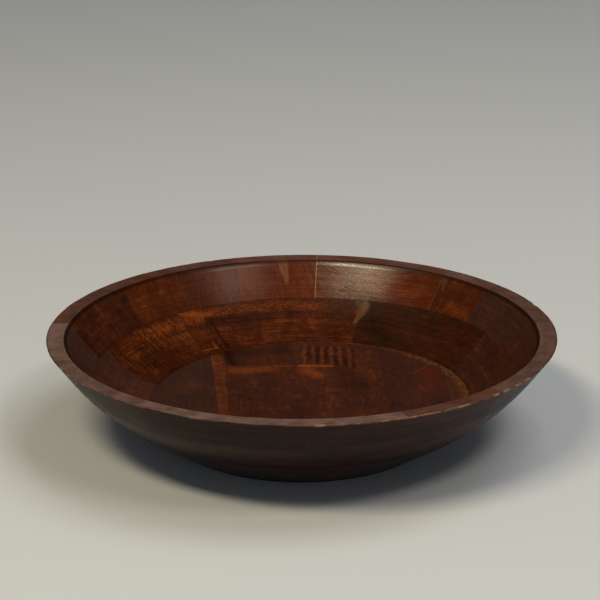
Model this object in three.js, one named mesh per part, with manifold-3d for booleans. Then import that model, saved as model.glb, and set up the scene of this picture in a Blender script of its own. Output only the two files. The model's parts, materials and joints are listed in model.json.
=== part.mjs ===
// A wide, shallow turned bowl, glued up from hardwood blocks in three courses:
// a base course of parallel boards, a middle ring of long blocks and a rim ring of
// short blocks. The glued stack is turned as one, so every block keeps a true piece
// of the outer and inner curves. Millimetres, +Z up, the foot standing on z = 0.
import * as THREE from 'three';
import { mergeVertices } from 'three/addons/utils/BufferGeometryUtils.js';
import Module from 'manifold-3d';

// Turned outline
const RIM_RADIUS = 205;
const HEIGHT = 87;
const RIM_WALL = 15.5;
const RIM_EASE = 1.5;
const FOOT_RADIUS = 105;
const FOOT_EASE = 1;
const FLOOR_RADIUS = 132;
const FLOOR_EDGE_HEIGHT = 32;
const FLOOR_LEVEL_RADIUS = 74;
const FLOOR_CENTRE_HEIGHT = 25;

// How the outer curve leaves the foot and meets the rim: pull length and slope, degrees
const FOOT_PULL = 79;
const FOOT_SLOPE = 29.5;
const RIM_PULL = 36;
const RIM_SLOPE = 53;

// The same for the inner wall, from the rim down to the floor's edge
const MOUTH_PULL = 45;
const MOUTH_SLOPE = 51;
const FLOOR_PULL = 20.5;
const FLOOR_SLOPE = 22.5;

// Courses: heights of the two glue planes on the axis, and their common lean
const LOWER_SEAM = 32;
const UPPER_SEAM = 59.5;
const SEAM_LEAN = 0.6;

// Glue line left between neighbouring blocks
const GLUE_LINE = 0.3;

// Roundness of the turned surfaces
const FACETS = 72;
const OUTER_STEPS = 9;
const WALL_STEPS = 8;
const FLOOR_STEPS = 3;

// Longer than anything the cutters have to reach across
const REACH = 320;

const TONES = {
  umber: 0x4a2a1a,
  chestnut: 0x6b3a1c,
  russet: 0x5a2e22,
  olive: 0x43301c,
  amber: 0x7a4520,
  sapwood: 0x8a5c40,
};

// Joints of the rim ring: where each block starts, degrees from +X towards +Y
const RIM_BLOCKS = [
  { from: 5, tone: 'umber' },
  { from: 35, tone: 'amber' },
  { from: 50, tone: 'chestnut' },
  { from: 86, tone: 'chestnut' },
  { from: 108, tone: 'umber' },
  { from: 125, tone: 'amber' },
  { from: 143, tone: 'chestnut' },
  { from: 173, tone: 'sapwood' },
  { from: 186, tone: 'russet' },
  { from: 199, tone: 'sapwood' },
  { from: 232, tone: 'umber' },
  { from: 271.5, tone: 'russet' },
  { from: 292.5, tone: 'chestnut' },
  { from: 318, tone: 'umber' },
  { from: 342, tone: 'russet' },
];

// Joints of the middle ring
const MIDDLE_BLOCKS = [
  { from: 25, tone: 'olive' },
  { from: 71.5, tone: 'chestnut' },
  { from: 121, tone: 'amber' },
  { from: 165, tone: 'umber' },
  { from: 205, tone: 'chestnut' },
  { from: 240, tone: 'umber' },
  { from: 275, tone: 'olive' },
  { from: 310, tone: 'umber' },
  { from: 345, tone: 'chestnut' },
];

// Boards of the base course, from -X to +X: each board's right-hand edge crosses the
// X axis at x and drifts by drift per millimetre of Y; the last board has no edge
const BASE_BOARDS = [
  { name: 'base_board_01', x: -118, drift: -0.06, tone: 'umber' },
  { name: 'base_board_02', x: -68.9, drift: -0.079, tone: 'umber' },
  { name: 'base_strip', x: -59.7, drift: -0.058, tone: 'amber' },
  { name: 'base_board_03', x: 6, drift: -0.05, tone: 'chestnut' },
  { name: 'base_board_04', x: 70, drift: -0.04, tone: 'chestnut' },
  { name: 'base_board_05', x: 120, drift: -0.04, tone: 'russet' },
  { name: 'base_board_06', tone: 'umber' },
];

const wasm = await Module();
wasm.setup();

const radians = THREE.MathUtils.degToRad;

// A closed three.js geometry as a solid that can be cut
function toSolid(geometry) {
  const bare = geometry.clone();
  bare.deleteAttribute('normal');
  bare.deleteAttribute('uv');
  const merged = mergeVertices(bare, 1e-4);
  const corners = merged.getIndex().array;
  const kept = [];
  for (let i = 0; i < corners.length; i += 3) {
    const [a, b, c] = corners.subarray(i, i + 3);
    if (a !== b && b !== c && c !== a) kept.push(a, b, c);
  }
  return new wasm.Manifold(new wasm.Mesh({
    numProp: 3,
    vertProperties: new Float32Array(merged.attributes.position.array),
    triVerts: new Uint32Array(kept),
  }));
}

// A cut solid as a three.js mesh with the block's own finish
function toMesh(solid, name, tone) {
  const cut = solid.getMesh();
  const geometry = new THREE.BufferGeometry();
  geometry.setAttribute('position', new THREE.BufferAttribute(cut.vertProperties, 3));
  geometry.setIndex(new THREE.BufferAttribute(cut.triVerts, 1));
  const flat = geometry.toNonIndexed();
  flat.computeVertexNormals();
  const finish = new THREE.MeshStandardMaterial({
    color: TONES[tone],
    roughness: 0.42,
    metalness: 0,
  });
  const mesh = new THREE.Mesh(flat, finish);
  mesh.name = name;
  return mesh;
}

// A curve in the (radius, height) plane that leaves `start` and reaches `end` along
// given slopes; each pull says how far the curve holds to its slope
function sweep(start, startPull, startSlope, end, endPull, endSlope, steps) {
  const out = new THREE.Vector2(Math.cos(radians(startSlope)), Math.sin(radians(startSlope)));
  const back = new THREE.Vector2(Math.cos(radians(endSlope)), Math.sin(radians(endSlope)));
  const curve = new THREE.CubicBezierCurve(
    start,
    start.clone().addScaledVector(out, startPull),
    end.clone().addScaledVector(back, endPull),
    end,
  );
  return curve.getPoints(steps);
}

// The whole turned shell, before it is divided into blocks
function turnedShell() {
  const footEdge = new THREE.Vector2(FOOT_RADIUS, FOOT_EASE);
  const rimEdge = new THREE.Vector2(RIM_RADIUS, HEIGHT);
  const mouthRadius = RIM_RADIUS - RIM_WALL;
  const mouthEdge = new THREE.Vector2(mouthRadius, HEIGHT - RIM_EASE);
  const floorEdge = new THREE.Vector2(FLOOR_RADIUS, FLOOR_EDGE_HEIGHT);
  const outer = sweep(
    footEdge, FOOT_PULL, FOOT_SLOPE,
    rimEdge, RIM_PULL, 180 + RIM_SLOPE, OUTER_STEPS,
  );
  const wall = sweep(
    mouthEdge, MOUTH_PULL, 180 + MOUTH_SLOPE,
    floorEdge, FLOOR_PULL, FLOOR_SLOPE, WALL_STEPS,
  );
  const floor = new THREE.QuadraticBezierCurve(
    floorEdge,
    new THREE.Vector2(FLOOR_LEVEL_RADIUS, FLOOR_CENTRE_HEIGHT),
    new THREE.Vector2(0, FLOOR_CENTRE_HEIGHT),
  ).getPoints(FLOOR_STEPS);
  const outline = [
    new THREE.Vector2(0, 0),
    new THREE.Vector2(FOOT_RADIUS - FOOT_EASE, 0),
    ...outer,
    new THREE.Vector2(mouthRadius + RIM_EASE, HEIGHT),
    ...wall,
    ...floor.slice(1),
  ];
  return toSolid(new THREE.LatheGeometry(outline, FACETS).rotateX(Math.PI / 2));
}

// A leaning slab that keeps what lies between two seam heights on the axis
function courseSlab(low, high) {
  const slab = new THREE.BoxGeometry(2 * REACH, 2 * REACH, high - low);
  slab.translate(0, 0, (low + high) / 2);
  slab.rotateY(-radians(SEAM_LEAN));
  return toSolid(slab);
}

// An upright prism on a plan outline, tall enough for every course
function prism(corners) {
  const shape = new THREE.Shape(corners);
  const tall = new THREE.ExtrudeGeometry(shape, { depth: 2 * REACH, bevelEnabled: false });
  tall.translate(0, 0, -REACH);
  return toSolid(tall);
}

// The wedge between two radial joints, held back half a glue line from each
function wedge(from, to) {
  const half = radians((to - from) / 2);
  const middle = radians((from + to) / 2);
  const tip = new THREE.Vector2(Math.cos(middle), Math.sin(middle));
  tip.multiplyScalar(GLUE_LINE / 2 / Math.sin(half));
  const along = (angle) => new THREE.Vector2(Math.cos(angle), Math.sin(angle));
  return prism([
    tip,
    tip.clone().addScaledVector(along(middle - half), REACH),
    tip.clone().addScaledVector(along(middle + half), REACH),
  ]);
}

// The strip of plan between two board edges, held back half a glue line from each
function boardStrip(left, right) {
  const edge = (side, y, inset) => new THREE.Vector2(side.x + side.drift * y + inset, y);
  const inset = GLUE_LINE / 2;
  return prism([
    edge(left, -REACH, inset),
    edge(right, -REACH, -inset),
    edge(right, REACH, -inset),
    edge(left, REACH, inset),
  ]);
}

// One ring of blocks, cut from its course at the radial joints
function ring(course, blocks, label) {
  return blocks.map((block, i) => {
    const next = i + 1 < blocks.length ? blocks[i + 1].from : blocks[0].from + 360;
    const name = `${label}_${String(i + 1).padStart(2, '0')}`;
    return toMesh(course.intersect(wedge(block.from, next)), name, block.tone);
  });
}

// The base course, cut into parallel boards
function base(course) {
  const outside = { x: REACH, drift: 0 };
  return BASE_BOARDS.map((board, i) => {
    const left = i > 0 ? BASE_BOARDS[i - 1] : { x: -REACH, drift: 0 };
    const right = board.x === undefined ? outside : board;
    return toMesh(course.intersect(boardStrip(left, right)), board.name, board.tone);
  });
}

const shell = turnedShell();
const inset = GLUE_LINE / 2;
const baseCourse = shell.intersect(courseSlab(-REACH, LOWER_SEAM - inset));
const middleCourse = shell.intersect(courseSlab(LOWER_SEAM + inset, UPPER_SEAM - inset));
const rimCourse = shell.intersect(courseSlab(UPPER_SEAM + inset, REACH));

const bowl = new THREE.Group();
bowl.add(...base(baseCourse));
bowl.add(...ring(middleCourse, MIDDLE_BLOCKS, 'middle_block'));
bowl.add(...ring(rimCourse, RIM_BLOCKS, 'rim_block'));

export default bowl;
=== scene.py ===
"""A turned bowl glued up from hardwood blocks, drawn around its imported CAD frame.

Every CAD block is replaced by a finely turned mesh of the same block, cut on the same
glue joints, with its own piece of wood: grain direction, tone, figure and finish.
Metres, +Z up, the foot on z = 0, the camera looks along +Y.
"""
import json
import math
import random

import bmesh
import bpy
import numpy as np
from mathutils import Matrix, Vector


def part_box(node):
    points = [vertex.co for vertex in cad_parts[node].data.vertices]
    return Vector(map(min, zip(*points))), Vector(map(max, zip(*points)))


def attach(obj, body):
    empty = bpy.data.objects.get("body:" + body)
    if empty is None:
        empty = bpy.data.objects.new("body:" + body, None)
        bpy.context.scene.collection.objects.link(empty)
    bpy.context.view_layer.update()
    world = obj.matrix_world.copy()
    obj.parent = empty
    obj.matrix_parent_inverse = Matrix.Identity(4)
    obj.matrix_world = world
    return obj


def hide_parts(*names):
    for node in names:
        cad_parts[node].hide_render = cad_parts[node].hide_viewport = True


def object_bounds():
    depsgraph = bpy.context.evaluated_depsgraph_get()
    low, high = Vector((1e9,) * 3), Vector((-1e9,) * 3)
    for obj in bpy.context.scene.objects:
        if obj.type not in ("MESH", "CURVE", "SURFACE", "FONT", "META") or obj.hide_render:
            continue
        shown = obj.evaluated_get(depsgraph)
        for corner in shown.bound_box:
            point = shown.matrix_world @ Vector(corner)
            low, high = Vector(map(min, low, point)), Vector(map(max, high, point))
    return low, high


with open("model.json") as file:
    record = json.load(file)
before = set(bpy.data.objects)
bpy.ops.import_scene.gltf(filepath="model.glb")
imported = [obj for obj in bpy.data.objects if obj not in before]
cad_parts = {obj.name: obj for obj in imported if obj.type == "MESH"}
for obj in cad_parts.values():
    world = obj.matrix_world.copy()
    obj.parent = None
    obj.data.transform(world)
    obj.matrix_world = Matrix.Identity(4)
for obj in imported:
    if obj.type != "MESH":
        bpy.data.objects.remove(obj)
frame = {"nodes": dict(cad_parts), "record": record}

MM = 0.001
CAD_LOW, CAD_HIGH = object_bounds()

# Turned outline: the rim and the height come from the frame, the rest is the part's design
RIM_RADIUS = (CAD_HIGH.x - CAD_LOW.x) / 2
HEIGHT = CAD_HIGH.z - CAD_LOW.z
RIM_WALL = 15.5 * MM
MOUTH_RADIUS = RIM_RADIUS - RIM_WALL
MOUTH_EASE = 1.5 * MM
FOOT_RADIUS = 105 * MM
FOOT_EASE = 1 * MM
FLOOR_RADIUS = 132 * MM
FLOOR_EDGE_HEIGHT = 32 * MM
FLOOR_LEVEL_RADIUS = 74 * MM
FLOOR_CENTRE_HEIGHT = 25 * MM
LOWER_SEAM = 32 * MM
UPPER_SEAM = 59.5 * MM
SEAM_LEAN = math.tan(math.radians(0.6))

# Ends of the two curves: slope in degrees and how far the curve follows it
OUTSIDE_AT_FOOT = (29.5, 79 * MM)
OUTSIDE_AT_RIM = (180 + 53, 36 * MM)
INSIDE_AT_MOUTH = (180 + 51, 45 * MM)
INSIDE_AT_FLOOR = (22.5, 20.5 * MM)
OUTLINE_POINTS = 400

# Camera: it looks along +Y and a little down, at a point just above the middle of the rim
LENS_MM = 153.5
SENSOR_MM = 36
VIEW_ELEVATION = math.radians(18.73)
VIEW_ROLL = math.radians(-0.21)
VIEW_DISTANCE = 2.05
VIEW_TARGET = Vector((-0.0013, 0, HEIGHT + 0.0273))

# Studio
FLOOR_COLOUR = (0.70, 0.72, 0.75, 1)
FLOOR_ROUGHNESS = 0.9
FLOOR_REACH = 6
SKY_COLOUR = (0.84, 0.88, 0.94, 1)
SKY_STRENGTH = 0.12

# How finely the blocks are meshed, and the fine glue groove left between them
COLUMN_STEP = 1.3 * MM
RIM_ROW_STEP = 1.3 * MM
MIDDLE_ROW_STEP = 1.5 * MM
COURSE_HEIGHT = HEIGHT / 3
COURSE_REACH = 35 * MM
JOINT_GAP = 0.02 * MM
GROOVE_DEPTH = 0.045 * MM
GROOVE_WIDTH = 0.30 * MM
JOINT_STATIONS = [0.0, 0.12 * MM, 0.28 * MM, 0.55 * MM, 1.0 * MM]
SEAM_STATIONS = [0.0, 0.006, 0.014, 0.03]
SHARP_ANGLE = math.radians(38)

# The base course's mesh: points around it, and rings on its floor, its side and its foot
BASE_COLUMNS = 720
FLOOR_RINGS = 60
SIDE_RINGS = 24
FOOT_RINGS = 6

# Rounding of the rim: the outer arris, sharp and fully worn, and the lip at the mouth
ARRIS_SHARP = 0.35 * MM
ARRIS_WORN = 1.25 * MM
LIP_ROUNDING = 1.4 * MM


# ---------------- camera, light, floor

def aim(thing, place, target):
    """Stands a camera or a light at a place and points it at a target."""
    thing.location = place
    thing.rotation_euler = (Vector(target) - Vector(place)).to_track_quat("-Z", "Y").to_euler()


def make_camera():
    data = bpy.data.cameras.new("camera")
    data.lens = LENS_MM
    data.sensor_width = SENSOR_MM
    data.clip_start = 0.05
    data.clip_end = 50
    camera = bpy.data.objects.new("camera", data)
    bpy.context.scene.collection.objects.link(camera)
    back = Vector((0, -math.cos(VIEW_ELEVATION), math.sin(VIEW_ELEVATION)))
    aim(camera, VIEW_TARGET + back * VIEW_DISTANCE, VIEW_TARGET)
    camera.rotation_euler.rotate_axis("Z", VIEW_ROLL)
    bpy.context.scene.camera = camera


def soft_box(name, direction, distance, size, power, colour, gloss=True):
    """An area light aimed at the bowl: direction is its azimuth and elevation in degrees.
    A light without gloss lights the wood but leaves no highlight on it."""
    data = bpy.data.lights.new(name, "AREA")
    data.shape = "RECTANGLE"
    data.size, data.size_y = size
    data.energy = power
    data.color = colour
    light = bpy.data.objects.new(name, data)
    light.visible_glossy = gloss
    bpy.context.scene.collection.objects.link(light)
    azimuth, elevation = (math.radians(a) for a in direction)
    away = Vector((math.cos(azimuth) * math.cos(elevation),
                   math.sin(azimuth) * math.cos(elevation), math.sin(elevation)))
    bowl = Vector((0, 0, HEIGHT / 2))
    aim(light, bowl + away * distance, bowl)


def make_floor():
    sides = ((-1, -1), (1, -1), (1, 1), (-1, 1))
    corners = [(x * FLOOR_REACH, y * FLOOR_REACH, 0) for x, y in sides]
    mesh = bpy.data.meshes.new("floor")
    mesh.from_pydata(corners, [], [(0, 1, 2, 3)])
    floor = bpy.data.objects.new("floor", mesh)
    bpy.context.scene.collection.objects.link(floor)
    shade = bpy.data.materials.new("floor_paint")
    shade.use_nodes = True
    paint = shade.node_tree.nodes["Principled BSDF"]
    paint.inputs["Base Color"].default_value = FLOOR_COLOUR
    paint.inputs["Roughness"].default_value = FLOOR_ROUGHNESS
    mesh.materials.append(shade)


def make_world():
    """A pale surround that lights the bowl a little and does not show in its gloss."""
    world = bpy.data.worlds.new("world")
    world.use_nodes = True
    sky = world.node_tree.nodes["Background"]
    sky.inputs["Color"].default_value = SKY_COLOUR
    sky.inputs["Strength"].default_value = SKY_STRENGTH
    world.cycles_visibility.glossy = False
    bpy.context.scene.world = world


def make_studio():
    """A pale floor, a broad soft light with a low fill, and two boxes that give the wall
    its sheen."""
    make_floor()
    make_world()
    soft_box("broad_light", (10, 68), 3.0, (1.7, 1.7), 24, (1.0, 0.985, 0.96), gloss=False)
    soft_box("low_fill", (288, 10), 2.6, (2.2, 0.6), 5, (0.86, 0.93, 1.0), gloss=False)
    soft_box("left_box", (232.5, 53.2), 2.8, (1.1, 0.32), 34, (1.0, 0.89, 0.60))
    soft_box("right_box", (312, 52.6), 2.8, (0.9, 0.4), 13, (1.0, 0.94, 0.84))
    bpy.context.scene.view_settings.view_transform = "Standard"


# ---------------- turned outline

def bezier(points, count):
    """Points along a quadratic or cubic Bezier curve in the (radius, height) plane."""
    t = np.linspace(0, 1, count)[:, None]
    order = len(points) - 1
    curve = 0
    for i, point in enumerate(points):
        weight = math.comb(order, i) * t ** i * (1 - t) ** (order - i)
        curve = curve + weight * np.array(point)
    return curve


def pulled(point, slope, pull):
    """A curve's inner control point: `pull` away from an end, along its slope in degrees."""
    angle = math.radians(slope)
    return (point[0] + pull * math.cos(angle), point[1] + pull * math.sin(angle))


def outer_outline():
    foot = (FOOT_RADIUS, FOOT_EASE)
    rim = (RIM_RADIUS, HEIGHT)
    return bezier(
        [foot, pulled(foot, *OUTSIDE_AT_FOOT), pulled(rim, *OUTSIDE_AT_RIM), rim],
        OUTLINE_POINTS)


def inner_outline():
    mouth = (MOUTH_RADIUS, HEIGHT - MOUTH_EASE)
    edge = (FLOOR_RADIUS, FLOOR_EDGE_HEIGHT)
    centre = (0, FLOOR_CENTRE_HEIGHT)
    level = (FLOOR_LEVEL_RADIUS, FLOOR_CENTRE_HEIGHT)
    wall = bezier(
        [mouth, pulled(mouth, *INSIDE_AT_MOUTH), pulled(edge, *INSIDE_AT_FLOOR), edge],
        OUTLINE_POINTS)
    floor = bezier([edge, level, centre], OUTLINE_POINTS)
    return np.vstack([wall, floor[1:]])[::-1]


OUTER = outer_outline()
INNER = inner_outline()


def outer_radius(height):
    return np.interp(height, OUTER[:, 1], OUTER[:, 0])


def inner_height(radius):
    return np.interp(radius, INNER[:, 0], INNER[:, 1])


def seam_outside(seam, angle):
    """Height at which a leaning seam meets the outer surface at each azimuth."""
    height = np.full_like(angle, seam)
    for _ in range(4):
        height = seam + SEAM_LEAN * outer_radius(height) * np.cos(angle)
    return height


def seam_inside(seam, angle):
    """Radius at which a leaning seam meets the inner surface at each azimuth."""
    wall = INNER[INNER[:, 0] > FLOOR_LEVEL_RADIUS]
    lean = SEAM_LEAN * np.cos(angle)
    return np.array([np.interp(seam, wall[:, 1] - k * wall[:, 0], wall[:, 0]) for k in lean])


# ---------------- the turner's touch

# The hand-sanded surface: waves in many directions, and depths in millimetres
WAVE_COUNT = 14
WAVE_LENGTHS = (22, 80)
MEAN_DEPTH = 0.06
WAVE_HEIGHT = 0.013
MOST_DEPTH = 0.2

WAVES = random.Random(41)
WAVE_SET = [
    (Vector((WAVES.uniform(-1, 1), WAVES.uniform(-1, 1), WAVES.uniform(-1, 1))).normalized()
     * (2 * math.pi / (WAVES.uniform(*WAVE_LENGTHS) * MM)), WAVES.uniform(0, 2 * math.pi))
    for _ in range(WAVE_COUNT)
]


def hand_waviness(points):
    """Shallow unevenness of a hand-sanded surface, as a distance below the true one."""
    total = np.zeros(len(points))
    for wave, phase in WAVE_SET:
        total += np.sin(points @ np.array(wave) + phase)
    return np.clip(MEAN_DEPTH + WAVE_HEIGHT * total, 0, MOST_DEPTH) * MM


# A patch of the floor where the tool chattered: its reach along X, its radii, and the pitch
# and depth of its ripples, which ease in and out over a short way at its edges
CHATTER_FROM, CHATTER_TO = -6 * MM, 50 * MM
CHATTER_INNER, CHATTER_OUTER = 84 * MM, 128 * MM
CHATTER_PITCH = 7.7 * MM
CHATTER_DEPTH = 0.10 * MM
CHATTER_EASE = 8 * MM
# The ease of the stain, painted shade and painted highlight laid on the ripples
CHATTER_PAINT_EASE = 9.0


def chatter_depth(points):
    """Fine ripples, side by side along X, that the tool left on the far part of the floor."""
    radius = np.hypot(points[:, 0], points[:, 1])
    fade = (points[:, 1] > 0).astype(float)
    for value, low, high in ((points[:, 0], CHATTER_FROM, CHATTER_TO),
                             (radius, CHATTER_INNER, CHATTER_OUTER)):
        fade *= np.clip((value - low) / CHATTER_EASE, 0, 1)
        fade *= np.clip((high - value) / CHATTER_EASE, 0, 1)
    return CHATTER_DEPTH * fade * (1 + np.sin(2 * math.pi * points[:, 0] / CHATTER_PITCH))


# Wear of the outer arris: its least, and waves of it as how many go round and their phase
RIM_LEAST_WORN = 0.12
RIM_WAVES = [(7, 0.4), (17, 2.1), (41, 4.0), (97, 1.3)]
# Worn and chipped stretches of it: from, to (degrees) and depth
RIM_WORN = [
    (243.3, 248.4, 0.45), (272.4, 274.7, 0.75), (279, 305, 0.5), (303, 309.8, 0.35),
    (315.0, 316.6, 0.7), (318.4, 320.2, 0.8), (322.8, 325, 0.6), (326, 329, 0.7),
    (18, 20, 0.5), (61, 66, 0.3), (112, 113.5, 0.5), (150, 158, 0.3), (203, 205, 0.5),
]


def rim_wear(angle):
    """How far the outer arris is worn at each azimuth, from 0, sharp, to 1, chipped."""
    degrees = np.degrees(angle) % 360
    worn = np.full_like(degrees, RIM_LEAST_WORN)
    for i, (count, phase) in enumerate(RIM_WAVES):
        worn += 0.09 / (1 + 0.4 * i) * np.sin(np.radians(degrees) * count + phase)
    for start, end, depth in RIM_WORN:
        middle, half = (start + end) / 2, (end - start) / 2
        away = np.abs((degrees - middle + 180) % 360 - 180)
        worn += depth * np.clip(1.3 - away / half, 0, 1) ** 0.6
    return np.clip(worn, 0, 1)


# ---------------- ring blocks

def stations(length, step, ends=JOINT_STATIONS):
    """Distances along an edge: fine at both ends, and even steps between them."""
    inner = length - 2 * ends[-1]
    count = max(2, round(inner / step))
    middle = [ends[-1] + inner * i / count for i in range(1, count)]
    return np.array(list(ends) + middle + [length - e for e in reversed(ends)])


def groove(distance):
    """Depth of the glue groove at a distance from the joint."""
    return GROOVE_DEPTH * np.exp(-(distance / GROOVE_WIDTH) ** 2)


def sector(node):
    """First and last azimuth of a CAD block, in radians, the last above the first."""
    points = np.array([v.co for v in frame["nodes"][node].data.vertices])
    middle = points.mean(0)
    start = math.atan2(middle[1], middle[0])
    turn = np.arctan2(points[:, 1], points[:, 0]) - start
    turn = (turn + math.pi) % (2 * math.pi) - math.pi
    return start + turn.min(), start + turn.max()


def joint_angles(label):
    """Each block of a ring with its two joint azimuths, halfway between neighbours."""
    names = sorted(n for n in frame["nodes"] if n.startswith(label))
    spans = [sector(n) for n in names]
    joints = {}
    for i, name in enumerate(names):
        start, end = spans[i]
        last_end = spans[i - 1][1]
        next_start = spans[(i + 1) % len(names)][0]
        shift = (start - last_end + math.pi) % (2 * math.pi) - math.pi
        reach = (next_start - end + math.pi) % (2 * math.pi) - math.pi
        joints[name] = (start - shift / 2, end + reach / 2)
    return joints


def outer_face(angle, low, high, step):
    """Points up the outer surface between two seams, one row per azimuth."""
    bottom = seam_outside(low, angle)[:, None]
    top = (seam_outside(high, angle) if high else np.full_like(angle, HEIGHT))[:, None]
    share = stations(1.0, step / COURSE_HEIGHT, SEAM_STATIONS)[None, :]
    height = bottom + (top - bottom) * share
    return outer_radius(height), height


def inner_face(angle, high, low, step):
    """Points down the inner surface between two seams, one row per azimuth."""
    top = (seam_inside(high, angle) if high else np.full_like(angle, MOUTH_RADIUS))[:, None]
    bottom = seam_inside(low, angle)[:, None]
    share = stations(1.0, step / COURSE_REACH, SEAM_STATIONS)[None, :]
    radius = top + (bottom - top) * share
    return radius, inner_height(radius)


def middle_profile(angle):
    """The middle course: its outer face going up and its inner face going down."""
    return (outer_face(angle, LOWER_SEAM, UPPER_SEAM, MIDDLE_ROW_STEP),
            inner_face(angle, UPPER_SEAM, LOWER_SEAM, MIDDLE_ROW_STEP))


def rim_profile(angle):
    """The rim course: its outer face, worn arris and half the flat top, and then the
    other half, the rounded inner arris and the inner face."""
    worn = rim_wear(angle)
    outer_r, outer_z = outer_face(angle, UPPER_SEAM, None, RIM_ROW_STEP)
    inner_r, inner_z = inner_face(angle, None, UPPER_SEAM, RIM_ROW_STEP)
    ease = ARRIS_SHARP + ARRIS_WORN * worn
    below = HEIGHT - 0.8 * ease
    keep = (outer_z < HEIGHT - ARRIS_SHARP - ARRIS_WORN).all(axis=0)
    outer_r, outer_z = outer_r[:, keep], outer_z[:, keep]

    corner_r, corner_z = RIM_RADIUS - 0.15 * ease * worn, HEIGHT - 0.15 * ease * worn
    start_r, start_z = outer_radius(below), below
    end_r, end_z = RIM_RADIUS - ease, np.full_like(ease, HEIGHT)
    arris = bend((start_r, start_z), (corner_r, corner_z), (end_r, end_z), 5)

    top_end = MOUTH_RADIUS + 0.6 * MM + LIP_ROUNDING
    share = np.linspace(0.12, 0.94, 8)[None, :]
    flat_r = end_r[:, None] + (top_end - end_r[:, None]) * share
    flat_z = np.full_like(flat_r, HEIGHT)

    down_r = MOUTH_RADIUS - LIP_ROUNDING
    ones = np.ones_like(angle)
    lip_bend = bend(
        (top_end * ones, HEIGHT * ones),
        ((MOUTH_RADIUS + 0.3 * MM) * ones, HEIGHT * ones),
        (down_r * ones, inner_height(down_r) * ones), 7)
    keep = (inner_r < down_r - 0.4 * MM).all(axis=0)
    inner_r, inner_z = inner_r[:, keep], inner_z[:, keep]
    half = flat_r.shape[1] // 2
    outer = (np.hstack([outer_r, arris[0], flat_r[:, :half]]),
             np.hstack([outer_z, arris[1], flat_z[:, :half]]))
    inner = (np.hstack([flat_r[:, half:], lip_bend[0], inner_r]),
             np.hstack([flat_z[:, half:], lip_bend[1], inner_z]))
    return outer, inner


def bend(start, corner, end, count):
    """A rounded corner: a quadratic curve from start to end at each azimuth."""
    t = np.linspace(0, 1, count)[None, :]
    return tuple(
        (1 - t) ** 2 * s[:, None] + 2 * t * (1 - t) * c[:, None] + t ** 2 * e[:, None]
        for s, c, e in zip(start, corner, end))


def around(radius, height, angle):
    """Points in the frame from radius, height and azimuth."""
    return np.stack([radius * np.cos(angle), radius * np.sin(angle), height], axis=-1)


def loop_faces(rows, loop):
    """Quads between rows of points, each row a closed loop."""
    faces = []
    for i in range(rows - 1):
        for j in range(loop):
            k = (j + 1) % loop
            faces.append((i * loop + j, (i + 1) * loop + j, (i + 1) * loop + k, i * loop + k))
    return faces


def sunk(chain, angle, from_joint):
    """A chain of outline points, sunk by the groove at the joints and by waviness."""
    radius, height = chain
    slope_r = np.gradient(radius, axis=1)
    slope_z = np.gradient(height, axis=1)
    size = np.hypot(slope_r, slope_z) + 1e-12
    spots = around(radius, height, angle[:, None])
    depth = hand_waviness(spots.reshape(-1, 3)).reshape(radius.shape)
    depth = depth + groove(from_joint)[:, None]
    return radius - depth * slope_z / size, height + depth * slope_r / size


def zip_cap(first, second):
    """Triangles across the band between two chains of point numbers."""
    i = j = 0
    faces = []
    while i < len(first) - 1 or j < len(second) - 1:
        next_i = (i + 1) / (len(first) - 1)
        next_j = (j + 1) / (len(second) - 1)
        if next_i <= next_j:
            faces.append((first[i], first[i + 1], second[j]))
            i += 1
        else:
            faces.append((first[i], second[j + 1], second[j]))
            j += 1
    return faces


def ring_block(name, start, end, profile):
    """One closed block of a ring: a loop of outline points swept between its joints."""
    length = (end - start) * RIM_RADIUS - 2 * JOINT_GAP
    along = stations(length, COLUMN_STEP)
    angle = start + (along + JOINT_GAP) / RIM_RADIUS
    from_joint = np.minimum(along, length - along)
    outer, inner = (sunk(chain, angle, from_joint) for chain in profile(angle))
    radius = np.hstack([outer[0], inner[0]])
    height = np.hstack([outer[1], inner[1]])
    points = around(radius, height, angle[:, None]).reshape(-1, 3)
    rows, loop = radius.shape

    faces = loop_faces(rows, loop)
    going_up = list(range(outer[0].shape[1]))
    inside_up = list(reversed(range(len(going_up), loop)))
    last = (rows - 1) * loop
    faces += zip_cap(going_up, inside_up)
    faces += zip_cap([last + i for i in going_up], [last + i for i in inside_up])
    return new_piece(name, points, faces)


def new_piece(name, points, faces):
    mesh = bpy.data.meshes.new(name)
    mesh.from_pydata([tuple(p) for p in points], [], faces)
    mesh.validate()
    bm = bmesh.new()
    bm.from_mesh(mesh)
    bmesh.ops.recalc_face_normals(bm, faces=bm.faces)
    bm.to_mesh(mesh)
    bm.free()
    return link_piece(name, mesh)


def link_piece(name, mesh):
    mesh.shade_smooth()
    mesh.set_sharp_from_angle(angle=SHARP_ANGLE)
    piece = bpy.data.objects.new(name, mesh)
    bpy.context.scene.collection.objects.link(piece)
    return piece


# ---------------- base boards

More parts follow.
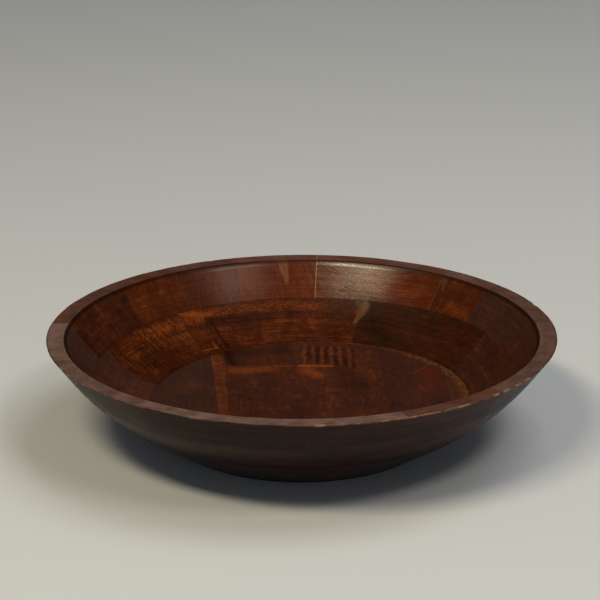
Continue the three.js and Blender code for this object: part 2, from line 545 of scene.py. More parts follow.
def base_solid():
    """The whole base course as one closed disc, before it is cut into boards."""
    columns = BASE_COLUMNS
    angle = np.arange(columns) * 2 * math.pi / columns
    seam_r = seam_inside(LOWER_SEAM, angle)
    edge_z = seam_outside(LOWER_SEAM, angle)
    rings = []

    for share in np.linspace(0.02, 1, FLOOR_RINGS):
        radius = seam_r * share
        rings.append((radius, inner_height(radius)))
    for share in np.linspace(0, 1, SIDE_RINGS):
        height = edge_z + (FOOT_EASE - edge_z) * share
        rings.append((outer_radius(height), height))
    for inset in (0.35, 0.75, 1.0):
        bevel = math.sqrt(1 - (1 - inset) ** 2)
        radius = FOOT_RADIUS - FOOT_EASE * inset
        rings.append((np.full(columns, radius), np.full(columns, FOOT_EASE * (1 - bevel))))
    for share in np.linspace(0.85, 0.1, FOOT_RINGS):
        rings.append((np.full(columns, FOOT_RADIUS * share), np.zeros(columns)))

    radius = np.stack([r for r, _ in rings])
    height = np.stack([z for _, z in rings])
    points = around(radius, height, angle[None, :]).reshape(-1, 3)
    sink = hand_waviness(points) + chatter_depth(points)
    sink[FLOOR_RINGS * columns:] = 0
    points[:, 2] -= sink
    points = np.vstack([points, [[0, 0, FLOOR_CENTRE_HEIGHT - MEAN_DEPTH * MM], [0, 0, 0]]])

    count = len(rings)
    faces = loop_faces(count, columns)
    top, bottom = count * columns, count * columns + 1
    last = (count - 1) * columns
    for j in range(columns):
        k = (j + 1) % columns
        faces.append((top, j, k))
        faces.append((bottom, last + k, last + j))
    solid = bmesh.new()
    vertices = [solid.verts.new(p) for p in points]
    for face in faces:
        solid.faces.new([vertices[i] for i in face])
    bmesh.ops.recalc_face_normals(solid, faces=solid.faces)
    return solid


def board_names():
    """The base boards and the strip from -X to +X."""
    names = [n for n in frame["nodes"] if n.startswith("base_")]
    return sorted(names, key=lambda n: (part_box(n)[0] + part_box(n)[1]).x)


# How far the boards' fibres are turned from the Y axis, in radians
BOARD_TURN = 0.06
# Right-hand edges of the boards where they cross the X axis, and their drift along Y
BOARD_EDGES = [
    (-118 * MM, -0.06), (-68.9 * MM, -0.079), (-59.7 * MM, -0.058),
    (6 * MM, -0.05), (70 * MM, -0.04), (120 * MM, -0.04),
]


def cut(solid, crossing, drift, keep_left):
    """Cuts a closed mesh on a board joint, keeps one side and closes it again."""
    across = Vector((1, -drift, 0)).normalized()
    side = -1 if keep_left else 1
    place = Vector((crossing, 0, 0)) + across * side * JOINT_GAP
    result = bmesh.ops.bisect_plane(
        solid, geom=solid.verts[:] + solid.edges[:] + solid.faces[:],
        plane_co=place, plane_no=across * -side, clear_outer=True)
    rim = [e for e in result["geom_cut"] if isinstance(e, bmesh.types.BMEdge)]
    bmesh.ops.triangle_fill(solid, edges=rim, use_beauty=True)
    bmesh.ops.recalc_face_normals(solid, faces=solid.faces)


def base_boards():
    whole = base_solid()
    boards = {}
    for i, name in enumerate(board_names()):
        board = whole.copy()
        if i > 0:
            cut(board, *BOARD_EDGES[i - 1], keep_left=False)
        if i < len(BOARD_EDGES):
            cut(board, *BOARD_EDGES[i], keep_left=True)
        mesh = bpy.data.meshes.new(name)
        board.to_mesh(mesh)
        board.free()
        boards[name] = link_piece("turned_" + name, mesh)
    whole.free()
    return boards


# ---------------- wood

def linear(red, green, blue):
    """A colour given in screen values of 0 to 255, as the renderer's linear values."""
    def one(value):
        value = value / 255
        return value / 12.92 if value <= 0.04045 else ((value + 0.055) / 1.055) ** 2.4
    return (one(red), one(green), one(blue), 1.0)


class Shader:
    """Builds one node material; sockets and plain values can be fed to any input."""

    def __init__(self, name):
        self.material = bpy.data.materials.new(name)
        self.material.use_nodes = True
        self.tree = self.material.node_tree
        self.surface = self.tree.nodes["Principled BSDF"]

    def node(self, kind, inputs, **settings):
        made = self.tree.nodes.new("ShaderNode" + kind)
        for key, value in settings.items():
            setattr(made, key, value)
        for socket, value in inputs.items():
            self.feed(made.inputs[socket], value)
        return made

    def feed(self, socket, value):
        if isinstance(value, bpy.types.NodeSocket):
            self.tree.links.new(value, socket)
        else:
            socket.default_value = value

    def math(self, operation, a, b=0.0, c=0.0):
        return self.node("Math", {0: a, 1: b, 2: c}, operation=operation).outputs[0]

    def vector(self, operation, a, b):
        made = self.node("VectorMath", {0: a}, operation=operation)
        self.feed(made.inputs["Scale" if operation == "SCALE" else 1], b)
        scalar = operation in ("DOT_PRODUCT", "LENGTH")
        return made.outputs["Value" if scalar else "Vector"]

    def noise(self, place, stretch, detail=3.0, roughness=0.55, distortion=0.0):
        """Noise over a place that is first stretched by a factor along each axis."""
        scaled = self.vector("MULTIPLY", place, stretch)
        made = self.node("TexNoise", {
            "Vector": scaled, "Scale": 1.0, "Detail": detail,
            "Roughness": roughness, "Distortion": distortion})
        return made.outputs["Fac"]

    def sway(self, place, scale, detail):
        """An offset along each axis, about half a unit at most, that drifts over a place."""
        noise = self.node("TexNoise", {"Vector": place, "Scale": scale, "Detail": detail})
        return self.vector("SUBTRACT", noise.outputs["Color"], (0.5, 0.5, 0.5))

    def step(self, value, low, high, start=0.0, end=1.0):
        """A smooth step: start below low, end above high."""
        made = self.node("MapRange", {
            "Value": value, "From Min": low, "From Max": high,
            "To Min": start, "To Max": end}, interpolation_type="SMOOTHSTEP")
        return made.outputs["Result"]

    def mix(self, factor, a, b):
        made = self.node("Mix", {0: factor, 6: a, 7: b}, data_type="RGBA")
        return made.outputs[2]

    def gain(self, colour, factor):
        """A colour made lighter or darker by a factor."""
        if isinstance(colour, tuple):
            colour = colour[:3]
        return self.vector("SCALE", colour, factor)

    def ramp(self, value, stops):
        made = self.node("ValToRGB", {"Fac": value})
        ramp = made.color_ramp
        ramp.interpolation = "EASE"
        while len(ramp.elements) < len(stops):
            ramp.elements.new(0.5)
        for element, (position, colour) in zip(ramp.elements, stops):
            element.position = position
            element.color = colour
        return made.outputs["Color"]


# Relief of the wood's surface in its material
RELIEF_STRENGTH = 0.10
RELIEF_DEPTH = 0.25 * MM

# Each block's material slot, which is also the name of its tone
SLOTS = {s["node"]: s["material_slot"] for s in frame["record"]["subparts"]}

# Stained tones: the wood's darkest streaks, its body, and its lightest streaks
TONES = {
    "umber": (linear(34, 14, 7), linear(66, 30, 15), linear(102, 50, 24)),
    "chestnut": (linear(46, 17, 6), linear(90, 37, 11), linear(142, 68, 24)),
    "russet": (linear(40, 16, 9), linear(74, 31, 16), linear(112, 50, 27)),
    "olive": (linear(36, 17, 6), linear(66, 31, 11), linear(98, 49, 20)),
    "amber": (linear(50, 19, 6), linear(102, 43, 11), linear(164, 82, 27)),
    "sapwood": (linear(48, 24, 13), linear(84, 46, 27), linear(124, 76, 48)),
}
BARE_WOOD = linear(160, 120, 98)
# Pale grey for the top of the rim: dust with a painted reflection of the surround
DUST_AND_REFLECTION_TONE = linear(120, 93, 86)
PALE_GLUE = linear(172, 124, 88)
FILLER = linear(140, 92, 58)
GREY_FILLER = linear(128, 106, 86)
# Bright grain, also used for the painted highlight on the chatter ripples
BRIGHT_GRAIN_AND_HIGHLIGHT = linear(186, 92, 30)
RED_STAIN = linear(96, 32, 12)
WARM_BROWN = linear(98, 48, 22)
HAZE = linear(82, 62, 58)
# A painted highlight along the ridge at the floor's edge
RIDGE_HIGHLIGHT_OLIVE = linear(112, 68, 28)
# Dark stain, also used for the painted shade under the rim's lip and on the chatter ripples
DARK_STAIN_AND_SHADE = linear(26, 11, 6)
OUTSIDE_STAIN = linear(56, 29, 20)


def radial(degrees):
    """A unit vector square to the joint at an azimuth."""
    angle = math.radians(degrees)
    return (-math.sin(angle), math.cos(angle), 0)


def plan(degrees, share):
    """A point seen from above, in millimetres: its azimuth and its share of the radius."""
    angle = math.radians(degrees)
    reach = share * RIM_RADIUS / MM
    return (reach * math.cos(angle), reach * math.sin(angle), 0)


class WoodPiece:
    """The material of one block: its own grain, tone, figure, joints, marks and finish.
    From rough on, the keywords are those that RECIPES explains."""

    def __init__(self, node, grain, climb, seed, rough, level, shade, curl=0.4, dust_and_reflection=0.45,
                 haze=0.05, contrast=1.0):
        self.s = Shader("wood_" + node)
        self.tone = TONES[SLOTS[node]]
        self.shade = shade
        self.curl = curl
        self.rough = rough
        self.level = level
        self.dust_and_reflection = dust_and_reflection
        self.haze = haze
        self.contrast = contrast
        self.draw = random.Random(seed)
        self.mm = self.s.vector("SCALE", self.s.node("TexCoord", {}).outputs["Object"], 1000.0)
        self.find_zones()
        self.run = self.along_grain(grain, climb)
        self.colour = self.stained(self.figure())

    def find_zones(self):
        """Radius, height and the parts of the surface that are finished differently."""
        s = self.s
        self.flat = s.vector("MULTIPLY", self.mm, (1, 1, 0))
        self.radius = s.vector("LENGTH", self.flat, (0, 0, 0))
        self.parts = s.node("SeparateXYZ", {"Vector": self.mm}).outputs
        normal = s.node("NewGeometry", {}).outputs["Normal"]
        facing = s.node("SeparateXYZ", {"Vector": normal}).outputs["Z"]
        self.inside = s.step(facing, -0.12, 0.08)
        near_top = s.step(self.parts["Z"], HEIGHT / MM - 1.6, HEIGHT / MM - 0.3)
        self.top = s.math("MULTIPLY", near_top, s.step(facing, 0.90, 0.985))
        self.wear = s.node("Attribute", {}, attribute_name="wear").outputs["Fac"]
        self.lip = None

    def along_grain(self, grain, climb):
        """Millimetre coordinates turned so that X runs along this block's fibres, which
        point to one azimuth and climb at an angle."""
        draw = self.draw
        tilt = (draw.uniform(-0.15, 0.15), climb + draw.uniform(-0.08, 0.08),
                draw.uniform(-0.08, 0.08))
        shift = tuple(draw.uniform(-900, 900) for _ in range(3))
        turned = self.s.node("Mapping", {
            "Vector": self.mm, "Rotation": (0, 0, -grain)}).outputs["Vector"]
        mapped = self.s.node("Mapping", {
            "Vector": turned, "Rotation": tilt, "Location": shift}).outputs["Vector"]
        sway = self.s.sway(mapped, 0.018, 1.0)
        return self.s.vector("ADD", mapped, self.s.vector("SCALE", sway, 16.0))

    def figure(self):
        """The tone of the wood over the block, from 0, dark, to 1, light."""
        s = self.s
        bands = s.noise(self.run, (0.006, 0.07, 0.07), 2.0)
        streaks = s.noise(self.run, (0.030, 0.40, 0.40), 4.0, 0.6, 0.4)
        self.fibre = s.noise(self.run, (0.07, 1.0, 1.0), 3.0, 0.6)
        self.ripple = s.noise(self.run, (0.24, 0.06, 0.06), 2.5, 0.5, 0.9)
        turning = s.node("CombineXYZ", {"X": self.radius, "Y": self.parts["Z"]}).outputs[0]
        self.rings = s.noise(turning, (0.40, 0.40, 0.5), 4.0, 0.68)
        blotches = s.noise(self.mm, (0.035, 0.035, 0.045), 4.0, 0.6)
        self.mottle = s.noise(self.mm, (0.09, 0.09, 0.11), 4.0, 0.6, 0.6)
        tone = 0.5
        for layer, amount in ((bands, 0.40), (streaks, 0.65), (self.fibre, 0.52),
                              (self.ripple, 0.5 * self.curl), (self.rings, 0.60),
                              (blotches, 0.45), (self.mottle, 0.40)):
            amount = amount * self.contrast
            tone = s.math("MULTIPLY_ADD", s.math("SUBTRACT", layer, 0.5), amount, tone)
        return tone

    def stained(self, figure):
        """The stained wood's colour inside, outside and on the top of the rim."""
        s = self.s
        dark, middle, light = self.tone
        colour = s.ramp(figure, [(0.20, dark), (0.48, middle), (0.82, light)])
        stain = s.noise(self.mm, (0.02, 0.02, 0.03), 3.0)
        colour = s.gain(colour, s.step(stain, 0.3, 0.7, 0.80 * self.shade, 1.20 * self.shade))
        pores = s.noise(self.run, (0.11, 1.9, 1.9), 2.0)
        self.pores = s.step(pores, 0.60, 0.72)
        colour = s.mix(s.math("MULTIPLY", self.pores, 0.32), colour, DARK_STAIN_AND_SHADE)

        warmth = s.step(s.noise(self.mm, (0.045, 0.045, 0.05), 3.0), 0.48, 0.66, 0.0, 0.35)
        colour = s.mix(warmth, colour, s.gain(RED_STAIN, 0.9 * self.shade))
        colour = s.mix(self.haze, colour, HAZE)

        smears = s.noise(self.mm, (0.012, 0.012, 0.11), 4.0, 0.6)
        outside = s.mix(0.35, colour, OUTSIDE_STAIN)
        outside = s.gain(outside, s.step(smears, 0.34, 0.70, 0.20, 0.80))
        colour = s.mix(self.inside, outside, colour)

        # Towards the top of the rim the colour goes pale grey: dust, and a painted reflection
        dust_and_reflection_colour = s.gain(DUST_AND_REFLECTION_TONE, s.step(self.fibre, 0.25, 0.75, 0.78, 1.15))
        top_patches = s.noise(self.mm, (0.06, 0.06, 0.06), 3.0)
        dust_and_reflection = s.step(top_patches, 0.3, 0.7, 0.6 * self.dust_and_reflection, 1.2 * self.dust_and_reflection)
        return s.mix(s.math("MULTIPLY", self.top, dust_and_reflection), colour, dust_and_reflection_colour)

    def paint(self, amount, tint):
        """Lays a tint over the colour so far."""
        self.colour = self.s.mix(amount, self.colour, tint)

    def paint_lip_stain_and_shade(self):
        """Stain and painted shade under the rounded inner arris, and a darker band on the
        outer one where it is whole.
        """
        s = self.s
        edge = MOUTH_RADIUS / MM
        near = s.math("ABSOLUTE", s.math("SUBTRACT", self.radius, edge + 0.3))
        band = s.step(near, 0.4, 1.7, 0.75, 0.0)
        high = s.step(self.parts["Z"], HEIGHT / MM - 8, HEIGHT / MM - 2)
        # The lip band: stain and painted shade under the inner arris
        self.lip = s.math("MULTIPLY", band, high)
        self.paint(self.lip, DARK_STAIN_AND_SHADE)
        outer = s.step(self.radius, RIM_RADIUS / MM - 2.2, RIM_RADIUS / MM - 0.6, 0.0, 0.55)
        self.paint(s.math("MULTIPLY", outer, high), DARK_STAIN_AND_SHADE)

    def line(self, distance, tint, strength, half_width):
        """A broken fine line where a distance, in millimetres, comes to nothing."""
        s = self.s
        breaks = s.step(s.noise(self.mm, (0.35, 0.35, 0.35), 2.0), 0.32, 0.6, 0.35, 1.0)
        near = s.step(s.math("ABSOLUTE", distance), half_width * 0.4, half_width * 1.4, 1.0, 0.0)
        self.paint(s.math("MULTIPLY", s.math("MULTIPLY", near, breaks), strength), tint)

    def joint(self, normal, tint, strength, half_width=0.4, offset=0.0):
        """A glue line on an upright plane, given by its normal and distance from the axis."""
        distance = self.s.vector("DOT_PRODUCT", self.mm, normal)
        self.line(self.s.math("SUBTRACT", distance, offset), tint, strength, half_width)

    def seam(self, height):
        """The dark line where two courses meet, at a height on the axis."""
        s = self.s
        rise = s.math("MULTIPLY_ADD", self.parts["X"], -SEAM_LEAN, self.parts["Z"])
        self.line(s.math("SUBTRACT", rise, height / MM), DARK_STAIN_AND_SHADE, 0.4, 0.35)

    def streak(self, start, end, widths, tint, strength, edge):
        """A mark from one plan point to another, its half-width changing along it. Its tint
        fades out between the two shares of the half-width that are given as its edge."""
        s = self.s
        a, b = Vector(plan(*start)), Vector(plan(*end))
        run = b - a
        sway = s.vector("MULTIPLY", s.sway(self.mm, 0.22, 3.0), (1, 1, 0))
        place = s.vector("ADD", self.flat, s.vector("SCALE", sway, 0.6 * max(widths)))
        offset = s.vector("SUBTRACT", place, tuple(a))
        share = s.math("DIVIDE", s.vector("DOT_PRODUCT", offset, tuple(run)), run.length_squared)
        share = s.math("MAXIMUM", s.math("MINIMUM", share, 1.0), 0.0)
        foot = s.vector("SCALE", tuple(run), share)
        away = s.vector("LENGTH", s.vector("SUBTRACT", offset, foot), (0, 0, 0))
        width = s.math("MULTIPLY_ADD", share, widths[1] - widths[0], widths[0])
        amount = s.step(s.math("DIVIDE", away, width), edge[0], edge[1], strength, 0.0)
        texture = s.step(self.fibre, 0.3, 0.6, 0.7, 1.0)
        amount = s.math("MULTIPLY", s.math("MULTIPLY", amount, texture), self.inside)
        self.paint(amount, tint)

    def arc(self, start, end, share, half_width, tint, strength, texture):
        """A soft ring of another tone between two azimuths, at a share of the radius."""
        s = self.s
        middle, half = math.radians((start + end) / 2), math.radians((end - start) / 2)
        towards = (math.cos(middle), math.sin(middle), 0)
        turned = s.vector("DOT_PRODUCT", s.vector("NORMALIZE", self.flat, (0, 0, 0)), towards)
        edge = math.cos(half)
        within = s.step(turned, edge - 0.25 * (1 - edge), edge + 0.6 * (1 - edge))
        sway = s.math("SUBTRACT", s.noise(self.mm, (0.05, 0.05, 0.05), 3.0), 0.5)
        radius = s.math("MULTIPLY_ADD", sway, 2.2 * half_width, self.radius)
        away = s.math("ABSOLUTE", s.math("SUBTRACT", radius, share * RIM_RADIUS / MM))
        near = s.step(away, half_width * 0.4, half_width * 1.5, strength, 0.0)
        amount = s.math("MULTIPLY", s.math("MULTIPLY", within, near), self.inside)
        self.paint(s.math("MULTIPLY", amount, texture), tint)

    def add_marks(self, node):
        """The marks that lie on this block."""
        low, high = (Vector(c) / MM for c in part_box(node))
        marks = [(mark, SHARP_EDGE) for mark in STREAKS] + [(mark, SOFT_EDGE) for mark in SMUDGES]
        for (course, start, end, widths, tint, strength), edge in marks:
            points = [plan(*start), plan(*end)]
            reach = 2 * max(widths)
            near = all(
                min(p[i] for p in points) - reach < high[i]
                and max(p[i] for p in points) + reach > low[i] for i in (0, 1))
            if node.startswith(course) and near:
                self.streak(start, end, widths, tint, strength, edge)
        for course, start, end, share, half_width, tint, strength in ARCS:
            if node.startswith(course):
                curls = self.s.noise(self.run, (0.16, 0.60, 0.60), 4.0, 0.6, 1.2)
                grain = self.s.step(curls, 0.42, 0.62, 0.05, 1.0)
                self.arc(start, end, share, half_width, tint, strength, grain)
        # Chattered boards get stain, painted shade and a painted highlight on their ripples
        if node in CHATTERED:
            self.paint_chatter_stain_and_light()

    def paint_chatter_stain_and_light(self):
        """Dark and light stripes along the ripples that the tool left on the floor: stain with
        painted shade in the dark stripes, a painted highlight in the light ones.
        """
        s = self.s
        sway = s.noise(self.mm, (0.12, 0.12, 0.12), 3.0)
        phase = s.math("MULTIPLY", self.parts["X"], 2 * math.pi / (CHATTER_PITCH / MM))
        wave = s.math("SINE", s.math("MULTIPLY_ADD", sway, 4.0, s.math("SUBTRACT", phase, 2.0)))
        fade = s.step(s.noise(self.mm, (0.10, 0.10, 0.10), 2.0), 0.3, 0.6, 0.35, 1.0)
        fade = s.math("MULTIPLY", fade, s.step(self.parts["Y"], 0.0, 10.0))
        for value, low, high in (
                (self.parts["X"], CHATTER_FROM / MM, CHATTER_TO / MM),
                (self.radius, CHATTER_INNER / MM, CHATTER_OUTER / MM)):
            ease = CHATTER_PAINT_EASE
            fade = s.math("MULTIPLY", fade, s.step(value, low, low + ease))
            fade = s.math("MULTIPLY", fade, s.step(value, high - ease, high, 1.0, 0.0))
        fade = s.math("MULTIPLY", fade, self.inside)
        # Dark stripes: stain with painted shade; light stripes: painted highlight
        self.paint(s.math("MULTIPLY", fade, s.step(wave, -1.0, 0.8, 0.62, 0.0)), DARK_STAIN_AND_SHADE)
        self.paint(s.math("MULTIPLY", fade, s.step(wave, 0.2, 1.0, 0.0, 0.12)), BRIGHT_GRAIN_AND_HIGHLIGHT)

    def finish(self):
        """Feeds colour, roughness and relief to the shader and returns the material."""
        s = self.s
        breaks = s.step(s.noise(self.mm, (0.16, 0.16, 0.3), 3.0, 0.6), 0.38, 0.56, 0.30, 1.0)
        worn = s.math("MULTIPLY", self.wear, breaks)
        self.paint(worn, BARE_WOOD)
        rough = s.math("MULTIPLY_ADD", s.math("SUBTRACT", self.fibre, 0.5), 0.20, self.rough)
        smear = s.math("SUBTRACT", s.noise(self.mm, (0.05, 0.05, 0.05), 3.0), 0.5)
        rough = s.math("MULTIPLY_ADD", smear, 0.18, rough)
        rough = s.math("MULTIPLY_ADD", s.math("SUBTRACT", self.rings, 0.5), 0.25, rough)
        rough = s.math("MULTIPLY_ADD", self.top, 0.18, rough)
        rough = s.math("MULTIPLY_ADD", worn, 0.25, rough)
        # The band of stain and painted shade under the lip is also rougher
        if self.lip is not None:
            rough = s.math("MULTIPLY_ADD", self.lip, 0.20, rough)

        relief = s.math("MULTIPLY_ADD", self.pores, -0.5, s.math("MULTIPLY", self.fibre, 0.5))
        relief = s.math("MULTIPLY_ADD", self.rings, 0.45, relief)
        relief = s.math("MULTIPLY_ADD", self.ripple, 0.4 * self.curl, relief)
        bump = s.node("Bump", {
            "Strength": RELIEF_STRENGTH, "Distance": RELIEF_DEPTH, "Height": relief})

        surface = s.surface.inputs
        s.feed(surface["Base Color"], self.colour)
        s.feed(surface["Roughness"], rough)
        s.feed(surface["Normal"], bump.outputs["Normal"])
        surface["Specular IOR Level"].default_value = self.level
        return s.material


# Each block's piece of wood. across: its fibres run across the block; curl: how wavy they are;
# shade: how light it is; contrast: how much its figure stands out; rough and level: its
# roughness and specular level; dust: how much dust and painted reflection pale the top of
# the rim; haze: its greyness
COURSE_RECIPES = {
    "rim": dict(rough=0.38, level=0.12),
    "middle": dict(rough=0.34, level=0.12),
    "base": dict(rough=0.36, level=0.2),
}
# What each block has of its own
RECIPES = {
    "rim_block_01": dict(shade=0.78, rough=0.36, level=0.16, haze=0.24),
    "rim_block_02": dict(across=True, curl=0.6, shade=0.53, contrast=0.6, rough=0.32, level=0.20,
                         dust_and_reflection=0.6),
    "rim_block_03": dict(curl=0.3, shade=1.06, contrast=0.6, rough=0.23, level=0.46, dust_and_reflection=0.5, haze=0.0),
    "rim_block_04": dict(across=True, curl=0.5, shade=0.98, contrast=0.6, rough=0.26, level=0.24,
                         dust_and_reflection=0.5, haze=0.0),
    "rim_block_05": dict(across=True, shade=1.20, contrast=0.6, rough=0.25, level=0.26, dust_and_reflection=0.4,
                         haze=0.0),
    "rim_block_06": dict(across=True, curl=0.7, shade=0.56, contrast=0.75, rough=0.28, level=0.20,
                         dust_and_reflection=0.27),
    "rim_block_07": dict(across=True, curl=0.9, shade=0.45, rough=0.34, level=0.16, dust_and_reflection=0.32, haze=0.1),
    "rim_block_08": dict(shade=0.36, dust_and_reflection=1.0, haze=0.34),
    "rim_block_09": dict(shade=0.46, dust_and_reflection=0.85, haze=0.32),
    "rim_block_10": dict(across=True, shade=0.33, dust_and_reflection=0.66, haze=0.2),
    "rim_block_11": dict(shade=0.56, level=0.10, dust_and_reflection=0.85, haze=0.06),
    "rim_block_12": dict(shade=0.57, level=0.10, dust_and_reflection=0.85, haze=0.06),
    "rim_block_13": dict(shade=0.60, level=0.10, dust_and_reflection=0.3, haze=0.16),
    "rim_block_14": dict(shade=0.60, dust_and_reflection=0.5, haze=0.28),
    "rim_block_15": dict(across=True, shade=0.66, dust_and_reflection=0.6, haze=0.22),
    "middle_block_01": dict(shade=0.52, level=0.08, haze=0.06),
    "middle_block_02": dict(curl=0.8, shade=0.54, level=0.08, haze=0.06),
    "middle_block_03": dict(across=True, curl=1.0, shade=0.40),
    "middle_block_04": dict(across=True, curl=0.6, shade=0.92, haze=0.24),
    "middle_block_05": dict(shade=0.48, level=0.10, haze=0.16),
    "middle_block_06": dict(shade=0.66, level=0.10, haze=0.06),
    "middle_block_07": dict(shade=0.74, level=0.10, haze=0.08),
    "middle_block_08": dict(across=True, shade=0.75, haze=0.26),
    "middle_block_09": dict(shade=0.47, haze=0.2),
    "base_board_01": dict(shade=0.60, haze=0.28),
    "base_board_02": dict(shade=0.50, haze=0.29),
    "base_strip": dict(across=True, curl=1.0, shade=0.74, haze=0.2),
    "base_board_03": dict(curl=0.8, shade=0.47, haze=0.2),
    "base_board_04": dict(curl=0.7, shade=0.54, haze=0.2),
    "base_board_05": dict(curl=0.6, shade=0.56, haze=0.22),
    "base_board_06": dict(shade=0.84, haze=0.25),
}

# Glue lines that are not drawn as the rest are: azimuth, tint and strength
CLEAR_JOINTS = {
    "rim": [(86, PALE_GLUE, 0.70), (50, PALE_GLUE, 0.12), (35, PALE_GLUE, 0.05),
            (108, PALE_GLUE, 0.08), (125, PALE_GLUE, 0.06), (271.5, PALE_GLUE, 0.05)],
    "middle": [(121, DARK_STAIN_AND_SHADE, 0.9)],
}

# Marks on the inside: course, from and to (azimuth in degrees and share of the rim radius),
# half-widths in millimetres at both ends, tint and strength
STREAKS = [
    ("rim", (94.8, 0.915), (94.3, 0.878), (4.4, 2.4), PALE_GLUE, 0.24),
    ("rim", (49.0, 0.915), (48.6, 0.895), (3.4, 2.0), PALE_GLUE, 0.10),
    ("rim", (111.6, 0.915), (111.2, 0.79), (0.7, 0.5), PALE_GLUE, 0.08),
    ("middle", (72.2, 0.822), (70.9, 0.804), (5.0, 4.0), GREY_FILLER, 0.24),
    ("middle", (70.4, 0.800), (72.6, 0.742), (4.4, 1.4), FILLER, 0.38),
    ("middle", (119.6, 0.785), (118.2, 0.650), (1.2, 2.4), DARK_STAIN_AND_SHADE, 0.62),
    ("middle", (122.8, 0.656), (129.0, 0.660), (0.7, 0.4), BRIGHT_GRAIN_AND_HIGHLIGHT, 0.26),
    ("middle", (122.8, 0.690), (122.6, 0.658), (0.5, 1.8), BRIGHT_GRAIN_AND_HIGHLIGHT, 0.28),
    ("middle", (142.5, 0.800), (140.8, 0.726), (0.5, 0.7), BRIGHT_GRAIN_AND_HIGHLIGHT, 0.30),
    ("middle", (146.0, 0.790), (144.0, 0.728), (0.4, 0.5), BRIGHT_GRAIN_AND_HIGHLIGHT, 0.20),
    ("middle", (139.4, 0.786), (137.8, 0.742), (0.4, 0.5), BRIGHT_GRAIN_AND_HIGHLIGHT, 0.20),
    ("middle", (163.0, 0.790), (160.0, 0.690), (0.5, 0.7), BRIGHT_GRAIN_AND_HIGHLIGHT, 0.16),
    ("middle", (168.0, 0.770), (165.5, 0.690), (0.4, 0.5), BRIGHT_GRAIN_AND_HIGHLIGHT, 0.12),
    ("base", (122.0, 0.620), (124.5, 0.530), (0.5, 0.4), PALE_GLUE, 0.22),
    ("base", (126.3, 0.635), (133.4, 0.530), (0.4, 0.3), PALE_GLUE, 0.24),
    ("base", (105.2, 0.420), (95.8, 0.408), (0.9, 0.6), BRIGHT_GRAIN_AND_HIGHLIGHT, 0.30),
    ("base", (35.0, 0.647), (32.0, 0.535), (0.6, 0.4), PALE_GLUE, 0.24),
    ("base", (100.0, 0.105), (112.0, 0.080), (0.4, 0.3), PALE_GLUE, 0.30),
    ("base", (94.0, 0.098), (104.0, 0.070), (0.3, 0.3), PALE_GLUE, 0.25),
]

# Smudges on the inside, listed as the streaks are, with edges that fade out slowly
SMUDGES = [
    ("rim", (177.0, 0.885), (174.0, 0.835), (5.0, 4.0), RED_STAIN, 0.35),
    ("rim", (8.0, 0.840), (12.0, 0.815), (5.0, 4.0), RED_STAIN, 0.35),
    ("rim", (44.0, 0.850), (36.0, 0.838), (4.0, 3.0), BRIGHT_GRAIN_AND_HIGHLIGHT, 0.20),
    ("rim", (113.5, 0.872), (103.5, 0.872), (13.0, 13.0), WARM_BROWN, 0.50),
    ("middle", (128.8, 0.815), (119.0, 0.792), (2.4, 1.6), BRIGHT_GRAIN_AND_HIGHLIGHT, 0.34),
    ("base", (120.5, 0.640), (125.0, 0.500), (6.0, 4.0), DARK_STAIN_AND_SHADE, 0.85),
    ("base", (118.0, 0.600), (97.5, 0.550), (11.0, 9.0), DARK_STAIN_AND_SHADE, 0.48),
    ("base", (91.0, 0.408), (73.2, 0.420), (2.6, 2.2), BRIGHT_GRAIN_AND_HIGHLIGHT, 0.42),
    ("base", (87.0, 0.360), (78.0, 0.312), (8.0, 6.0), BRIGHT_GRAIN_AND_HIGHLIGHT, 0.28),
    ("base", (128.0, 0.440), (110.0, 0.400), (8.0, 7.0), BRIGHT_GRAIN_AND_HIGHLIGHT, 0.20),
    ("base", (166.5, 0.490), (157.5, 0.479), (9.0, 7.0), BRIGHT_GRAIN_AND_HIGHLIGHT, 0.05),
    ("base", (156.2, 0.641), (179.0, 0.630), (3.0, 4.0), BRIGHT_GRAIN_AND_HIGHLIGHT, 0.30),
    ("base", (31.3, 0.590), (18.2, 0.560), (10.0, 9.0), RED_STAIN, 0.50),
    ("base", (60.0, 0.380), (40.0, 0.300), (16.0, 12.0), DARK_STAIN_AND_SHADE, 0.30),
]

# Where a mark's tint starts and ends to fade, in shares of its half-width
SHARP_EDGE = (0.55, 1.25)
SOFT_EDGE = (0.0, 1.6)

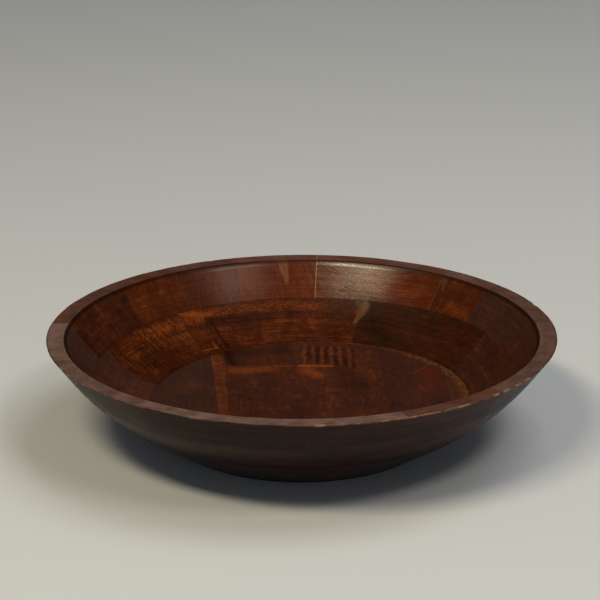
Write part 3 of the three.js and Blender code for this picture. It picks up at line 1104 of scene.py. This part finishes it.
# Soft rings on the inside: start of the block's name, azimuths, share of the rim radius,
# half-width in millimetres, tint and strength
ARCS = [
    # The first three rings darken the lower edge of the rim course on the back wall
    ("rim_block_02", 35, 50, 0.828, 5.0, DARK_STAIN_AND_SHADE, 0.50),
    ("rim_block_03", 50, 86, 0.828, 5.0, DARK_STAIN_AND_SHADE, 0.40),
    ("rim_block_04", 86, 108, 0.828, 3.0, DARK_STAIN_AND_SHADE, 0.25),
    ("middle_block_02", 80, 123, 0.795, 2.6, BRIGHT_GRAIN_AND_HIGHLIGHT, 0.30),
    ("middle_block_03", 119, 152, 0.790, 4.0, BRIGHT_GRAIN_AND_HIGHLIGHT, 0.34),
    ("middle_block_03", 121, 146, 0.735, 6.0, BRIGHT_GRAIN_AND_HIGHLIGHT, 0.10),
    ("middle_block_03", 126, 172, 0.670, 7.0, DARK_STAIN_AND_SHADE, 0.18),
    ("middle_block_02", 68, 84, 0.760, 14.0, DARK_STAIN_AND_SHADE, 0.15),
    ("middle_block_01", 20, 44, 0.735, 18.0, RED_STAIN, 0.24),
    ("middle_block_09", 4, 28, 0.735, 18.0, DARK_STAIN_AND_SHADE, 0.32),
    # These two olive rings are a painted highlight on the ridge where the floor meets the wall
    ("base", -35, 62, 0.652, 3.0, RIDGE_HIGHLIGHT_OLIVE, 0.75),
    ("base", -12, 30, 0.648, 5.0, RIDGE_HIGHLIGHT_OLIVE, 0.45),
    ("base", 66, 104, 0.655, 1.8, BRIGHT_GRAIN_AND_HIGHLIGHT, 0.45),
]

# The boards that the chatter ripples cross
CHATTERED = ("base_board_03", "base_board_04")

# Slope of the inner wall in each course, in degrees, and each course's first grain seed
RIM_SLOPE = 47
MIDDLE_SLOPE = 35
RIM_SEED, MIDDLE_SEED, BASE_SEED = 100, 200, 300


def wood_for(node, along, wall, seed):
    """The wood of a block, from its recipe, the azimuth that runs along the block, and the
    slope of the wall, which fibres that run across the block climb."""
    recipe = {**COURSE_RECIPES[node.split("_")[0]], **RECIPES[node]}
    across = recipe.pop("across", False)
    grain = along - math.pi / 2 if across else along
    climb = math.radians(wall) if across else 0
    return WoodPiece(node, grain, climb, seed, **recipe)


def ring_woods(nodes, wall, seams, first_seed):
    """One wood for each block of a ring, by node."""
    made = {}
    for i, (node, (start, end)) in enumerate(nodes.items()):
        wood = wood_for(node, (start + end) / 2 + math.pi / 2, wall, first_seed + i)
        for angle in (start, end):
            degrees = math.degrees(angle) % 360
            tint, strength = DARK_STAIN_AND_SHADE, 0.30
            for clear, clear_tint, clear_strength in CLEAR_JOINTS[node.split("_")[0]]:
                if abs(degrees - clear) < 2:
                    tint, strength = clear_tint, clear_strength
            wood.joint(radial(degrees), tint, strength)
        for height in seams:
            wood.seam(height)
        made[node] = wood
    return made


def base_woods():
    made = {}
    for i, node in enumerate(board_names()):
        wood = wood_for(node, math.pi / 2 + BOARD_TURN, 0, BASE_SEED + i)
        for crossing, drift in BOARD_EDGES[max(0, i - 1):i + 1]:
            length = math.hypot(1, drift)
            normal = (1 / length, -drift / length, 0)
            wood.joint(normal, DARK_STAIN_AND_SHADE, 0.16, 0.35, crossing / MM / length)
        made[node] = wood
    return made


# ---------------- assembly

def add_wear(piece):
    """Stores how bare the wood is along the worn outer arris."""
    points = np.array([v.co for v in piece.data.vertices])
    radius = np.hypot(points[:, 0], points[:, 1])
    from_arris = np.hypot(RIM_RADIUS - radius, HEIGHT - points[:, 2])
    worn = rim_wear(np.arctan2(points[:, 1], points[:, 0]))
    reach = (0.5 + 1.4 * worn) * MM
    amount = np.clip(worn * 1.5, 0, 1) * np.clip(1.5 - from_arris / reach, 0, 1)
    layer = piece.data.attributes.new("wear", "FLOAT", "POINT")
    layer.data.foreach_set("value", amount.astype(np.float32))


def dress(piece, node, material):
    """Puts a turned block in the place of its CAD node."""
    piece.data.materials.append(material)
    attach(piece, "root")
    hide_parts(node)


def build_bowl():
    rim_nodes = joint_angles("rim_block")
    middle_nodes = joint_angles("middle_block")
    pieces = {}
    for node, (start, end) in rim_nodes.items():
        pieces[node] = ring_block("turned_" + node, start, end, rim_profile)
        add_wear(pieces[node])
    for node, (start, end) in middle_nodes.items():
        pieces[node] = ring_block("turned_" + node, start, end, middle_profile)
    pieces.update(base_boards())

    woods = ring_woods(rim_nodes, RIM_SLOPE, [UPPER_SEAM], RIM_SEED)
    woods.update(ring_woods(middle_nodes, MIDDLE_SLOPE, [UPPER_SEAM, LOWER_SEAM], MIDDLE_SEED))
    woods.update(base_woods())
    for node, piece in pieces.items():
        wood = woods[node]
        wood.add_marks(node)
        # Rim blocks also get stain and painted shade under their lip
        if node.startswith("rim"):
            wood.paint_lip_stain_and_shade()
        dress(piece, node, wood.finish())


make_camera()
make_studio()
build_bowl()
